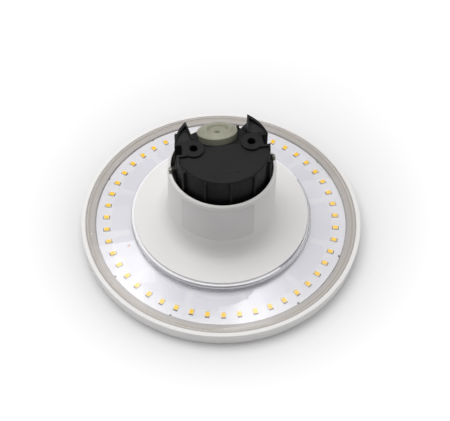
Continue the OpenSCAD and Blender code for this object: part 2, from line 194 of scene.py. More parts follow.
def rounded(points, n=5):
    """A closed outline from (x, y, radius) corners, each corner rounded by an arc of that radius."""
    out = []
    k = len(points)
    for i in range(k):
        x, y, r = (*points[i], 0)[:3]
        if r <= 0:
            out.append((x, y))
            continue
        p = Vector((x, y))
        a = Vector(points[i - 1][:2]) - p
        b = Vector(points[(i + 1) % k][:2]) - p
        la, lb = a.length, b.length
        a.normalize(), b.normalize()
        ang = a.angle(b)
        if ang > pi - 0.02:
            out.append((x, y))
            continue
        t = r / math.tan(ang / 2)
        t = min(t, la * 0.48, lb * 0.48)
        rr = t * math.tan(ang / 2)
        mid = (a + b).normalized()
        c = p + mid * (rr / sin(ang / 2))
        s, e = p + a * t - c, p + b * t - c
        total = s.angle(e)
        sign = 1 if s.x * e.y - s.y * e.x > 0 else -1
        for j in range(n + 1):
            th = sign * total * j / n
            v = Vector((s.x * cos(th) - s.y * sin(th), s.x * sin(th) + s.y * cos(th)))
            out.append((c.x + v.x, c.y + v.y))
    return out


def new_object(name, verts, faces, angle=32, mats=(), face_mats=None, merge=2e-7):
    """An object from points in millimetres, smooth but for edges sharper than angle."""
    me = bpy.data.meshes.new(name)
    me.from_pydata([(x * MM, y * MM, z * MM) for x, y, z in verts], [], faces)
    if face_mats:
        me.polygons.foreach_set("material_index", face_mats)
    bm = bmesh.new()
    bm.from_mesh(me)
    bmesh.ops.remove_doubles(bm, verts=bm.verts, dist=merge)
    bmesh.ops.recalc_face_normals(bm, faces=bm.faces)
    bm.to_mesh(me)
    bm.free()
    me.polygons.foreach_set("use_smooth", [True] * len(me.polygons))
    me.set_sharp_from_angle(angle=radians(angle))
    ob = bpy.data.objects.new(name, me)
    scene.collection.objects.link(ob)
    for mt in mats:
        me.materials.append(mt)
    return ob


def lathe_data(profile, segs=288, a0=0.0, a1=360.0, wave=None):
    """Points and faces of a closed (r, z) outline turned about Z. wave(i, angle) shifts a point by (dr, dz)."""
    full = abs(a1 - a0 - 360) < 1e-6
    k = len(profile)
    cols = segs if full else segs + 1
    verts, faces = [], []
    for j in range(cols):
        a = radians(a0 + (a1 - a0) * j / segs)
        for i, (r, z) in enumerate(profile):
            if wave:
                dr, dz = wave(i, a)
                r, z = r + dr, z + dz
            verts.append((r * cos(a), r * sin(a), z))
    for j in range(segs):
        j2 = (j + 1) % cols
        for i in range(k):
            i2 = (i + 1) % k
            if profile[i][0] < 1e-6 and profile[i2][0] < 1e-6:
                continue
            q = [j * k + i, j2 * k + i, j2 * k + i2, j * k + i2]
            if profile[i][0] < 1e-6:
                q = [j * k + i, j2 * k + i2, j * k + i2]
            elif profile[i2][0] < 1e-6:
                q = [j * k + i, j2 * k + i, j * k + i2]
            faces.append(q)
    if not full:
        faces.append(list(range(k))[::-1])
        faces.append([(cols - 1) * k + i for i in range(k)])
    return verts, faces


def lathe(name, profile, segs=288, wave=None, **kw):
    v, f = lathe_data(profile, segs, wave=wave)
    return new_object(name, v, f, **kw)


def apply(ob, angle=32):
    dg = bpy.context.evaluated_depsgraph_get()
    me = bpy.data.meshes.new_from_object(ob.evaluated_get(dg))
    ob.modifiers.clear()
    ob.data = me
    me.polygons.foreach_set("use_smooth", [True] * len(me.polygons))
    me.set_sharp_from_angle(angle=radians(angle))


def boolean(ob, cutters, op="DIFFERENCE", angle=32):
    """Applies booleans to ob and removes the cutters."""
    for c in cutters:
        md = ob.modifiers.new("b", "BOOLEAN")
        md.operation = op
        md.solver = "EXACT"
        md.object = c
    apply(ob, angle)
    for c in cutters:
        bpy.data.objects.remove(c)


def cyl(name, x, y, z0, z1, r, n=48, turn=None):
    v = [(x + r * cos(2 * pi * i / n), y + r * sin(2 * pi * i / n), z) for z in (z0, z1) for i in range(n)]
    f = [[i, (i + 1) % n, n + (i + 1) % n, n + i] for i in range(n)] + [list(range(n))[::-1], list(range(n, 2 * n))]
    if turn:
        v = move_all(v, turn)
    return new_object(name, v, f)


def block(name, x0, x1, y0, y1, z0, z1, turn=None):
    v = [(x, y, z) for z in (z0, z1) for x, y in ((x0, y0), (x1, y0), (x1, y1), (x0, y1))]
    f = [[0, 3, 2, 1], [4, 5, 6, 7], [0, 1, 5, 4], [1, 2, 6, 5], [2, 3, 7, 6], [3, 0, 4, 7]]
    if turn:
        v = move_all(v, turn)
    return new_object(name, v, f)


def move_all(verts, mat):
    return [tuple(mat @ Vector(v)) for v in verts]


def spin(deg):
    return Matrix.Rotation(radians(deg), 4, "Z")


def weighted(ob):
    """Normals that keep broad faces flat beside their small fillets."""
    md = ob.modifiers.new("wn", "WEIGHTED_NORMAL")
    md.keep_sharp = True
    md.weight = 100
    return ob


def put(ob, body, slot_name, *replaced):
    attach(ob, body)
    if replaced:
        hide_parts(*replaced)
    return ob


# ---------------------------------------------------------------- materials
def powder_coat(name, color, shade=0.03):
    t = Mat(name, color, 0.42, Specular_IOR_Level=0.35)
    a = t.noise(9, 3)
    dark = tuple(c * (1 - shade) for c in color)
    t.color(t.ramp(a, [(0.3, dark), (0.7, color)]))
    t.rough(t.noise(700, 2), 0.38, 0.5)
    t.bump(t.noise(1500, 2, 0.6), 0.000012, 0.5)
    return t.m


def plain_plastic(name, color, rough=0.45, grain=900, shade=0.08, depth=0.00001, **sockets):
    t = Mat(name, color, rough, **sockets)
    dark = tuple(c * (1 - shade) for c in color)
    t.color(t.ramp(t.noise(60, 3), [(0.3, dark), (0.7, color)]))
    t.rough(t.noise(grain * 0.5, 2), rough * 0.9, min(1, rough * 1.12))
    t.bump(t.noise(grain, 2), depth, 0.6)
    return t.m


def metal(name, color, rough=0.3, shade=0.2, grain=1200, stretch=None):
    t = Mat(name, color, rough, 1.0)
    dark = tuple(c * (1 - shade) for c in color)
    t.color(t.ramp(t.noise(400, 3, 0.6), [(0.3, dark), (0.7, color)]))
    t.rough(t.noise(grain, 3, 0.6, stretch), rough * 0.75, min(1, rough * 1.3))
    t.bump(t.noise(grain, 2, 0.6, stretch), 0.000008, 0.5)
    return t.m


def spark_plastic(name, more=0.0):
    """Black glass-filled plastic with a spark-eroded surface: grey specks and a fine grain. more lifts its tone."""
    t = Mat(name, (0.014, 0.014, 0.015), 0.6, Specular_IOR_Level=0.2)
    big = t.noise(45, 3, 0.55)
    fine = t.noise(2600, 3, 0.7)
    specks = t.noise(5200, 1, 0.5)
    base = t.ramp(big, [(0.3, (0.0080 + more, 0.0080 + more, 0.0086 + more)), (0.7, (0.0128 + more, 0.0128 + more, 0.0136 + more))])
    lift = t.ramp(fine, [(0.48, (0, 0, 0)), (0.78, (0.010, 0.010, 0.0103))])
    dots = t.ramp(specks, [(0.66, (0, 0, 0)), (0.80, (0.028, 0.028, 0.028))])
    t.color(t.mix(1.0, t.mix(1.0, base, lift, "ADD"), dots, "ADD"))
    t.rough(fine, 0.5, 0.72)
    t.bump(fine, 0.00005, 0.8)
    return t.m


def board_paint(name):
    """White solder mask over copper: pours between thin gaps, a track ring under the chips, gaps every 30 degrees."""
    t = Mat(name, (0.84, 0.84, 0.88), 0.36, Coat_Weight=0.25, Coat_Roughness=0.15)
    r = t.radius()
    ang = t.angle()
    seam = t.math("ABSOLUTE", t.math("SUBTRACT", t.math("FLOORED_MODULO", t.math("ADD", ang, -2.1 + 15 + 360), 30.0), 15.0))
    away = t.math("MULTIPLY", t.math("MULTIPLY", seam, pi / 180), r)       # mm from the nearest gap's middle
    flare = t.math("ADD", 2.2, t.math("MULTIPLY", t.math("MAXIMUM", t.math("SUBTRACT", r, 68.5), 0.0), 1.6))
    in_gap = t.math("LESS_THAN", away, flare)
    inner = t.math("LESS_THAN", t.math("ABSOLUTE", t.math("SUBTRACT", r, 65.2)), 5.6)
    pour = t.math("MULTIPLY", inner, t.math("SUBTRACT", 1.0, in_gap))
    edge_a = t.math("LESS_THAN", t.math("ABSOLUTE", t.math("SUBTRACT", away, flare)), 0.1)
    edge_a = t.math("MULTIPLY", edge_a, t.math("LESS_THAN", r, 70.8))
    edge_b = t.math("LESS_THAN", t.math("ABSOLUTE", t.math("SUBTRACT", t.math("ABSOLUTE", t.math("SUBTRACT", r, 74.0)), 3.2)), 0.08)
    lines = t.math("MAXIMUM", edge_a, edge_b)
    c = t.mix(pour, (0.885, 0.885, 0.90), (0.835, 0.83, 0.865))
    c = t.mix(t.math("MULTIPLY", lines, 0.5), c, (0.76, 0.76, 0.81))
    t.color(t.mix(t.math("MULTIPLY", t.noise(40, 3), 0.08), c, (0.78, 0.78, 0.80)))
    h = t.math("SUBTRACT", t.math("MULTIPLY", pour, 0.6), t.math("MULTIPLY", lines, 0.6))
    t.bump(t.math("ADD", h, t.math("MULTIPLY", t.noise(500, 2), 0.15)), 0.00003, 0.5)
    return t.m


def clear_plastic(name, color=(0.995, 0.99, 1.0), ior=1.49):
    """Clear moulded plastic. Diffuse rays and rays towards lamps pass straight through it."""
    t = Mat(name, color, 0.012, 0.0, IOR=ior, Transmission_Weight=1.0)
    path = t.n("ShaderNodeLightPath")
    open_ = t.n("ShaderNodeBsdfTransparent")
    open_.inputs["Color"].default_value = (0.97, 0.97, 0.98, 1)
    mix_a = t.n("ShaderNodeMixShader")
    t.link(path.outputs["Is Diffuse Ray"], mix_a.inputs[0])
    t.link(t.p.outputs[0], mix_a.inputs[1])
    t.link(open_.outputs[0], mix_a.inputs[2])
    mix_b = t.n("ShaderNodeMixShader")
    t.link(path.outputs["Is Shadow Ray"], mix_b.inputs[0])
    t.link(mix_a.outputs[0], mix_b.inputs[1])
    t.link(open_.outputs[0], mix_b.inputs[2])
    t.link(mix_b.outputs[0], t.out.inputs["Surface"])
    t.bump(t.noise(14, 1), 0.00002, 0.04)
    return t.m


def silicone(name):
    """Grey silicone in the gutter: rings of tone, slightly uneven; the light ring where it meets the cover's edge is a
    painted highlight, and the darkening where it meets the rim is painted shade.
    """
    t = Mat(name, (0.50, 0.47, 0.44), 0.4)
    r = t.radius()
    wob = t.math("MULTIPLY", t.math("SUBTRACT", t.noise(70, 2), 0.5), 0.35)
    k = t.math("DIVIDE", t.math("SUBTRACT", t.math("ADD", r, wob), 81.0), 6.4)
    # the light stops near 0.735 to 0.77 are a painted highlight on the wall under the cover's edge; the fall from 0.81
    # to 1.0 is painted shade at the rim
    col = t.ramp(k, [(0.0, (0.43, 0.40, 0.37)), (0.20, (0.50, 0.475, 0.45)), (0.33, (0.46, 0.43, 0.40)), (0.42, (0.56, 0.52, 0.48)),
                     (0.50, (0.435, 0.385, 0.335)), (0.62, (0.455, 0.41, 0.365)), (0.69, (0.49, 0.46, 0.43)), (0.735, (0.69, 0.66, 0.63)),
                     (0.77, (0.67, 0.64, 0.61)), (0.81, (0.49, 0.46, 0.43)), (1.0, (0.39, 0.36, 0.33))])
    t.color(t.mix(t.math("MULTIPLY", t.noise(160, 4, 0.6), 0.14), col, (0.36, 0.34, 0.32)))
    t.rough(t.noise(120, 3), 0.3, 0.5)
    t.bump(t.noise(260, 3), 0.0001, 0.4)
    return t.m


def rubber_grey(name):
    t = Mat(name, (0.32, 0.33, 0.26), 0.5, Specular_IOR_Level=0.35)
    a = t.noise(120, 3, 0.6)
    col = t.ramp(a, [(0.3, (0.290, 0.288, 0.222)), (0.7, (0.355, 0.352, 0.274))])
    t.color(t.mix(t.math("MULTIPLY", t.noise(1800, 2), 0.25), col, (0.20, 0.205, 0.155)))
    t.rough(t.noise(500, 2), 0.42, 0.6)
    t.bump(t.noise(1600, 2, 0.6), 0.00003, 0.5)
    return t.m


def silver_film(name):
    t = Mat(name, (0.69, 0.685, 0.68), 0.34, 0.35)
    t.color(t.ramp(t.noise(30, 3), [(0.3, (0.665, 0.66, 0.655)), (0.7, (0.72, 0.715, 0.71))]))
    t.rough(t.noise(900, 2, 0.5, (1, 1, 0.05)), 0.3, 0.42)
    t.bump(t.noise(240, 2), 0.00002, 0.2)
    return t.m


def phosphor(name):
    """Yellow window of a chip: deep orange-yellow, a little lighter where it climbs the cavity wall."""
    t = Mat(name, (0.95, 0.56, 0.05), 0.3, Coat_Weight=0.4, Coat_Roughness=0.1)
    # the unlit chips' yellow windows glow faintly: painted light, not a lamp
    t.p.inputs["Emission Color"].default_value = (1.0, 0.56, 0.02, 1)
    t.p.inputs["Emission Strength"].default_value = 0.27
    r = t.radius()
    off = t.math("SUBTRACT", t.math("FLOORED_MODULO", t.math("ADD", t.angle(), 360 - 5.9 + 3.75), 7.5), 3.75)
    v = t.math("MULTIPLY", t.math("ABSOLUTE", t.math("MULTIPLY", t.math("MULTIPLY", off, pi / 180), r)), 1 / 1.2)
    u = t.math("MULTIPLY", t.math("ABSOLUTE", t.math("SUBTRACT", r, 74.04)), 1 / 1.5)
    d = t.math("ADD", t.math("MAXIMUM", u, v), t.math("MULTIPLY", t.math("SUBTRACT", t.noise(1500, 2), 0.5), 0.2))
    t.color(t.ramp(d, [(0.0, (0.97, 0.56, 0.012)), (0.6, (0.97, 0.575, 0.018)), (0.85, (0.97, 0.60, 0.04)), (1.0, (0.96, 0.68, 0.12))]))
    t.bump(t.noise(2400, 2), 0.00001, 0.4)
    return t.m


def solder(name):
    # dull dark grey-brown: solder whose colour also carries painted shade from beside each chip
    t = Mat(name, (0.30, 0.26, 0.24), 0.45, 0.35)
    t.color(t.ramp(t.noise(900, 3, 0.6), [(0.3, (0.25, 0.225, 0.22)), (0.7, (0.46, 0.43, 0.43))]))
    t.rough(t.noise(1500, 2), 0.3, 0.6)
    t.bump(t.noise(1500, 3), 0.00003, 0.6)
    return t.m


def screw_steel(name):
    """Nickel-plated steel, bright at the slotted end and darker further in: painted shade where the screw passes the
    gap beside the base.
    """
    t = Mat(name, (0.60, 0.58, 0.52), 0.3, 1.0)
    x, _, _ = t.xyz()
    k = t.math("ADD", t.math("SUBTRACT", t.math("MULTIPLY", t.math("ABSOLUTE", x), 1000.0), 30.6), t.math("MULTIPLY", t.noise(600, 2), 0.5))
    # dark inside about |x| = 30.8 mm: painted shade of the gap beside the base
    t.color(t.ramp(k, [(0.2, (0.10, 0.095, 0.085)), (0.75, (0.58, 0.57, 0.53))]))
    t.rough(t.noise(1400, 3, 0.6), 0.22, 0.4)
    t.bump(t.noise(1400, 2, 0.6), 0.000008, 0.5)
    return t.m


M = {
    "housing_white": powder_coat("housing_white", (0.865, 0.85, 0.84)),
    "board_white": board_paint("board_white"),
    "thermal_grey": plain_plastic("thermal_grey", (0.30, 0.32, 0.36), 0.8),
    "chip_body": plain_plastic("chip_body", (0.80, 0.76, 0.68), 0.35, 2500, 0.1),
    "chip_phosphor": phosphor("chip_phosphor"),
    "solder": solder("solder"),
    "clear_plastic": clear_plastic("clear_plastic"),
    "sealant": silicone("sealant"),
    "gasket_dark": plain_plastic("gasket_dark", (0.50, 0.50, 0.51), 0.6, 1500),
    "steel_screw": metal("steel_screw", (0.62, 0.61, 0.60), 0.28),
    "set_screw_steel": screw_steel("set_screw_steel"),
    "case_plastic": plain_plastic("case_plastic", (0.74, 0.74, 0.70), 0.5),
    "driver_green": plain_plastic("driver_green", (0.02, 0.12, 0.05), 0.35, 600, 0.3),
    "ferrite": plain_plastic("ferrite", (0.03, 0.028, 0.028), 0.55),
    "capacitor_sleeve": plain_plastic("capacitor_sleeve", (0.012, 0.02, 0.06), 0.25),
    "black_part": plain_plastic("black_part", (0.02, 0.02, 0.02), 0.4),
    "lead_sleeve": plain_plastic("lead_sleeve", (0.17, 0.065, 0.03), 0.4, 400),
    "label_silver": silver_film("label_silver"),
    "base_black": spark_plastic("base_black"),
    "grommet_grey": rubber_grey("grommet_grey"),
    "terminal_white": plain_plastic("terminal_white", (0.72, 0.71, 0.66), 0.45),
    "clamp_brass": metal("clamp_brass", (0.66, 0.50, 0.22), 0.3),
}
EXTRA = {
    "sleeve_blue": plain_plastic("sleeve_blue", (0.02, 0.07, 0.25), 0.4, 400),
    "sleeve_red": plain_plastic("sleeve_red", (0.45, 0.03, 0.02), 0.4, 400),
    "sleeve_black": plain_plastic("sleeve_black", (0.03, 0.03, 0.035), 0.4, 400),
    "board_cut": plain_plastic("board_cut", (0.22, 0.21, 0.195), 0.7, 1500, 0.3, 0.00003),
    "pad_copper": plain_plastic("pad_copper", (0.80, 0.56, 0.48), 0.4, 1500, 0.2),
    # a lighter copy of the housing's powder coat for the front housing: painted light
    "disc_white_painted_light": powder_coat("disc_white_painted_light", (0.92, 0.905, 0.895)),
    # the cover's pale prints glow faintly: painted light, not a lamp
    "cover_mask_painted_glow": plain_plastic("cover_mask_painted_glow", (0.92, 0.915, 0.94), 0.6, 1200, 0.04, Emission_Color=(0.97, 0.97, 1.0, 1), Emission_Strength=0.11),
    "cover_top_print_painted_glow": plain_plastic("cover_top_print_painted_glow", (0.92, 0.915, 0.94), 0.6, 1200, 0.03, Emission_Color=(0.97, 0.97, 1.0, 1), Emission_Strength=0.05),
    "mould_line_painted_shade": plain_plastic("mould_line_painted_shade", (0.005, 0.005, 0.005), 0.8, 1200, Specular_IOR_Level=0.1),
    # a darker copy of the base's black for its side walls: painted shade
    "base_side_painted_shade": spark_plastic("base_side_painted_shade", -0.005),
    "grommet_skin_painted_shade": plain_plastic("grommet_skin_painted_shade", (0.15, 0.135, 0.10), 0.7, 1500, 0.1),
    # a lighter copy of the base's black for the horn pocket floors: painted light
    "horn_floor_painted_light": spark_plastic("horn_floor_painted_light", 0.013),
    "bubble": plain_plastic("bubble", (0.95, 0.95, 0.94), 0.2, 2000, 0.03),
}
slots = {s["node"]: s["material_slot"] for s in frame["record"]["subparts"]}
for n, ob in nodes.items():
    ob.data.materials.clear()
    # the front housing takes the lighter copy of the powder coat, which is painted light
    ob.data.materials.append(EXTRA["disc_white_painted_light"] if n == "front_housing" else M[slots[n]])

# ---------------------------------------------------------------- neck
DRAFT = math.tan(radians(1.5))
NECK_R, NECK_Z, BLEND, FLANGE_R, FLANGE_Z = 33.0, 59.3, 9.0, 55.8, 14.3
NECK_RB = NECK_R + (NECK_Z - FLANGE_Z - BLEND) * DRAFT
prof = [(31.0, 10.5), (31.0, 58.95)] + arc_pts(31.35, 58.95, 0.35, 180, 90, 4) \
    + arc_pts(31.6, 57.9, 1.4, 90, 0, 10) + arc_pts(NECK_RB + BLEND, FLANGE_Z + BLEND, BLEND, 180, 270, 30) \
    + arc_pts(FLANGE_R - 0.3, FLANGE_Z - 0.3, 0.3, 90, 0, 5) \
    + [(FLANGE_R, 13.3), (49.5, 13.3), (49.5, 2.4), (46.5, 2.4), (46.5, 11.2), (37, 11.2), (33.4, 8.0), (20, 8.0), (20, 10.5)]
neck = lathe("neck_shell", prof, 288, mats=[M["housing_white"]])
cutters = [cyl("c", 26 * cos(radians(a)), 26 * sin(radians(a)), 0, 20, 1.7, 32) for a in (45, 135, 225, 315)]
lay_x = Matrix.Translation((0, 0, 60.25)) @ Matrix.Rotation(radians(90), 4, "Y")
cutters += [cyl("c", 0, 0, 29, 35, 2.1, 48, lay_x), cyl("c", 0, 0, -35, -29, 2.1, 48, lay_x)]
cutters.append(cyl("c", 28.5 * cos(radians(150)), 28.5 * sin(radians(150)), 0, 20, 2.2, 32))
cutters.append(block("c", 40, 52, -2.5, 2.5, 0, 4.6, spin(150)))
boolean(neck, cutters)
weighted(neck)
put(neck, "lamp", "housing_white", "neck_housing")

# ---------------------------------------------------------------- ring board
prof = rounded([(50.2, 4.92, 0.08), (80.7, 4.92, 0.08), (80.7, 6.5, 0.08), (50.2, 6.5, 0.08)], 2)
board = lathe("ring_board", prof, 288, mats=[M["board_white"], EXTRA["board_cut"], EXTRA["pad_copper"]])
nibs = []
for q in range(4):
    for s in (-1, 1):
        nibs.append(block("nib", 79.6 if q in (2, 3) else 80.15, 81.1, -0.7, 0.7, 4.95, 6.54, spin(41.5 + 90 * q + s * 16)))
holes = [cyl("c", 55.2 * cos(radians(150)) - s * 4 * sin(radians(150)), 55.2 * sin(radians(150)) + s * 4 * cos(radians(150)), 0, 10, 0.8, 24) for s in (-1, 1)]
holes.append(block("c", 46, 54.2, -2.6, 2.6, 0, 10, spin(150)))
boolean(board, holes)
weighted(board)
put(board, "lamp", "board_white", "led_board")
vv, ff = [], []
for o in nibs:
    k = len(vv)
    vv += [tuple(c / MM for c in v.co) for v in o.data.vertices]
    ff += [[k + i for i in p.vertices] for p in o.data.polygons]
    bpy.data.objects.remove(o)
nib = new_object("board_nibs", vv, ff, mats=[EXTRA["board_cut"]])
put(nib, "lamp", "board_white")

# bare copper test spot beside the track ring
v, f = lathe_data([(0, 6.49), (0.95, 6.49), (0.95, 6.52), (0.8, 6.535), (0, 6.535)], 32)
spot = new_object("test_pad", move_all(v, Matrix.Translation((-61.5, -12.68, 0))), f, mats=[EXTRA["pad_copper"]])
put(spot, "lamp", "board_white")


# ---------------------------------------------------------------- chips
def round_rect(a, b, r, n=3, cut=None):
    """Corners (a, b) half sizes, radius r, anticlockwise; cut is a bigger radius for the first corner."""
    pts = []
    for q, (sx, sy) in enumerate(((1, 1), (-1, 1), (-1, -1), (1, -1))):
        rr = cut if cut and q == 0 else r
        pts += arc_pts(sx * (a - rr), sy * (b - rr), rr, 90 * q, 90 * q + 90, n)
    return pts


def loft(rings, close_ends=True):
    """Faces of stacked rings, each a list of (x, y, z)."""
    k = len(rings[0])
    v = [p for ring in rings for p in ring]
    f = []
    for j in range(len(rings) - 1):
        for i in range(k):
            i2 = (i + 1) % k
            f.append([j * k + i, j * k + i2, (j + 1) * k + i2, (j + 1) * k + i])
    if close_ends:
        f.append(list(range(k))[::-1])
        f.append([(len(rings) - 1) * k + i for i in range(k)])
    return v, f


def level(pts, z):
    return [(x, y, z) for x, y in pts]


body_v, body_f = loft([
    level(round_rect(1.71, 1.36, 0.12), 0.03), level(round_rect(1.75, 1.40, 0.14), 0.10), level(round_rect(1.75, 1.40, 0.14), 0.70),
    level(round_rect(1.71, 1.36, 0.12), 0.76), level(round_rect(1.58, 1.29, 0.26, cut=0.42), 0.76), level(round_rect(1.56, 1.27, 0.26, cut=0.42), 0.74),
    level(round_rect(1.30, 0.98, 0.30, cut=0.42), 0.40)])
glow_v, glow_f = loft([
    level(round_rect(1.32, 1.00, 0.30, cut=0.42), 0.41), level(round_rect(1.555, 1.265, 0.26, cut=0.42), 0.735),
    level(round_rect(1.38, 1.05, 0.30, cut=0.44), 0.71), level(round_rect(0.95, 0.65, 0.30, cut=0.4), 0.69), level(round_rect(0.4, 0.25, 0.12, cut=0.14), 0.685)])
fillet = [(0, 0.0), (0.52, 0.0), (0.51, 0.05), (0.39, 0.11), (0.27, 0.21), (0.15, 0.37), (0.06, 0.54), (0.0, 0.60)]
tin_v, tin_f = [], []
for s in (-1, 1):
    ends = []
    for y, shrink in ((-1.36, 0.55), (-1.29, 0.9), (-1.14, 1.0), (1.14, 1.0), (1.29, 0.9), (1.36, 0.55)):
        ends.append([(s * (1.745 + x * (0.6 + 0.4 * shrink)), y, z * shrink) for x, z in fillet])
    v, f = loft(ends)
    k = len(tin_v)
    tin_v += v
    tin_f += [[k + i for i in q] for q in f]


def on_ring(verts, faces, z0=6.5):
    vv, ff = [], []
    for c in range(48):
        a = 5.9 + 7.5 * c
        # each chip is placed a hair askew, as by a pick-and-place machine
        wob = 0.9 * sin(c * 2.7 + 0.4)
        mt = spin(a) @ Matrix.Translation((74.04 + 0.05 * sin(c * 1.9), 0, z0)) @ spin(wob)
        k = len(vv)
        vv += move_all(verts, mt)
        ff += [[k + i for i in q] for q in faces]
    return vv, ff


for nm, (v, f), slot_name, node, ang in (
        ("chip_bodies", (body_v, body_f), "chip_body", "led_packages", 40),
        ("chip_windows", (glow_v, glow_f), "chip_phosphor", "led_phosphors", 40),
        ("chip_solder", (tin_v, tin_f), "solder", "led_terminals", 50)):
    v, f = on_ring(v, f)
    put(new_object(nm, v, f, angle=ang, mats=[M[slot_name]]), "lamp", slot_name, node)

# ---------------------------------------------------------------- clear cover, gasket, silicone
prof = rounded([(50.0, 11.8, 0.1), (56.1, 11.8, 0.4), (56.6, 11.3, 0.3), (56.6, 9.8, 0), (56.6, 6.52, 0.15), (57.8, 6.52, 0.15), (57.8, 7.7, 0.15),
                (85.8, 7.7, 0.1), (85.8, 8.9, 0.35), (57.8, 8.9, 0.4), (57.8, 13.0, 0.6), (50.0, 13.0, 0.1)], 6)
# the raised step carries a pale matt print on its top, and on the upper part of the riser's inner face; both prints
# glow faintly, which is painted light
masked = []
for i in range(len(prof)):
    (r0, h0), (r1, h1) = prof[i], prof[(i + 1) % len(prof)]
    top = min(h0, h1) > 12.95 and max(r0, r1) > 50.5
    side = (r0 + r1) / 2 > 56.55 and r1 < 56.7 and max(h0, h1) < 11.4 and min(h0, h1) > 9.7
    masked.append(2 if top else 1 if side else 0)
# the print on the step's top is left off along the right, where the clear plastic shows
top_print_left_off = [0 if m == 2 else m for m in masked]
outer_top_print_left_off = [0 if m == 2 and max(prof[i][0], prof[(i + 1) % len(prof)][0]) > 57.3 else m for i, m in enumerate(masked)]
print_mats = []
for j in range(576):
    d = (j * 360 / 576 + 60) % 360
    print_mats += top_print_left_off if d < 78 else outer_top_print_left_off if d > 352 or d < 82 else masked
cover = lathe("cover_ring", prof, 576, mats=[M["clear_plastic"], EXTRA["cover_mask_painted_glow"], EXTRA["cover_top_print_painted_glow"]], angle=60, face_mats=print_mats)
weighted(cover)
put(cover, "lamp", "clear_plastic", "clear_cover")

gasket = lathe("flange_gasket", rounded([(51.0, 13.02, 0.05), (55.55, 13.02, 0.1), (55.55, 13.3, 0.1), (51.0, 13.3, 0.05)], 3), 288,
               mats=[M["gasket_dark"]],
               wave=lambda i, a: ((0.06 * sin(7 * a + 1) + 0.05 * sin(17 * a)) if 4 <= i <= 11 else 0, 0))
weighted(gasket)
put(gasket, "lamp", "gasket_dark", "inner_gasket")


def uneven(a, k):
    return 0.5 * sin(5 * a + k) + 0.3 * sin(11 * a + 2.1 * k) + 0.25 * sin(23 * a + 0.7 * k) + 0.2 * sin(41 * a + 1.3 * k)


# outline from the bottom outside, up the rim, over the fillet, under the cover's edge and down beside the board
seal = [(82.0, 2.42), (87.19, 2.42), (87.21, 9.02), (86.95, 8.86), (86.65, 8.80), (86.3, 8.84), (86.0, 8.92), (85.78, 8.86),
        (85.77, 8.4), (85.77, 7.73), (82.6, 7.73), (81.7, 7.73), (81.0, 7.66), (80.84, 7.4), (80.76, 6.9), (80.75, 4.95), (82.0, 4.7)]


def seal_wave(i, a):
    u = uneven(a, 1.0 + i * 0.15)
    if 3 <= i <= 6:
        return 0.05 * u, 0.06 * uneven(a, 4.0)
    if i in (2, 7):
        return 0, 0.05 * uneven(a, 6.0)
    if 11 < i < 16:
        # drawn back from the board's edge on the near right, with a ragged stretch
        d = math.degrees(a) % 360
        gap = max(0.0, min(1.0, (d - 293) / 4, (332 - d) / 8))
        rag = max(0.0, 1 - abs(d - 300) / 5)
        return 0.03 + 0.03 * u + 0.42 * gap + rag * 0.25 * sin(95 * a), 0
    return 0, 0


sealing = lathe("edge_silicone", seal, 720, wave=seal_wave, mats=[M["sealant"]], angle=50)
put(sealing, "lamp", "sealant", "edge_sealant")

v, f = lathe_data([(0, 0.26), (0.16, 0.23), (0.29, 0.14), (0.34, 0.0), (0, 0.0)], 20)
bub = new_object("silicone_bubble", move_all(v, Matrix.Translation((-83.83, -0.49, 7.72)) @ Matrix.Scale(1.5, 4, (0, 1, 0))), f, mats=[EXTRA["bubble"]])
put(bub, "lamp", "sealant")

# ---------------------------------------------------------------- label on the neck
z0, z1, a0, a1, th, rc = 28.0, 55.6, -146.5, -65.0, 0.12, 1.4
rows = []
span = (a1 - a0)
for i in range(41):
    if i <= 8:
        z = z0 + rc * (1 - cos(pi / 2 * i / 8))
    elif i >= 32:
        z = z1 - rc * (1 - cos(pi / 2 * (40 - i) / 8))
    else:
        z = z0 + rc + (z1 - z0 - 2 * rc) * (i - 8) / 24
    d = min(z - z0, z1 - z)
    inset = rc - sqrt(max(0, rc * rc - (rc - d) ** 2)) if d < rc else 0
    rows.append((z, math.degrees(inset / 33.5)))
cols = 64
v, f = [], []
for side in (0, 1):
    for z, da in rows:
        rr = NECK_R + (NECK_Z - z) * DRAFT + (0.012 if side == 0 else th)
        for j in range(cols + 1):
            a = radians(a0 + da + (span - 2 * da) * j / cols)
            v.append((rr * cos(a), rr * sin(a), z))
W, H = cols + 1, len(rows)
for i in range(H - 1):
    for j in range(cols):
        p = i * W + j
        f.append([p, p + W, p + W + 1, p + 1])
        q = H * W + p
        f.append([q, q + 1, q + W + 1, q + W])
rim = [i for i in range(W)] + [i * W + W - 1 for i in range(1, H)] + [(H - 1) * W + j for j in range(W - 2, -1, -1)] + [i * W for i in range(H - 2, 0, -1)]
for k in range(len(rim)):
    a, b = rim[k], rim[(k + 1) % len(rim)]
    f.append([a, b, H * W + b, H * W + a])
label = new_object("blank_label", v, f, mats=[M["label_silver"]], angle=50, merge=1e-8)
put(label, "lamp", "label_silver", "rating_label")


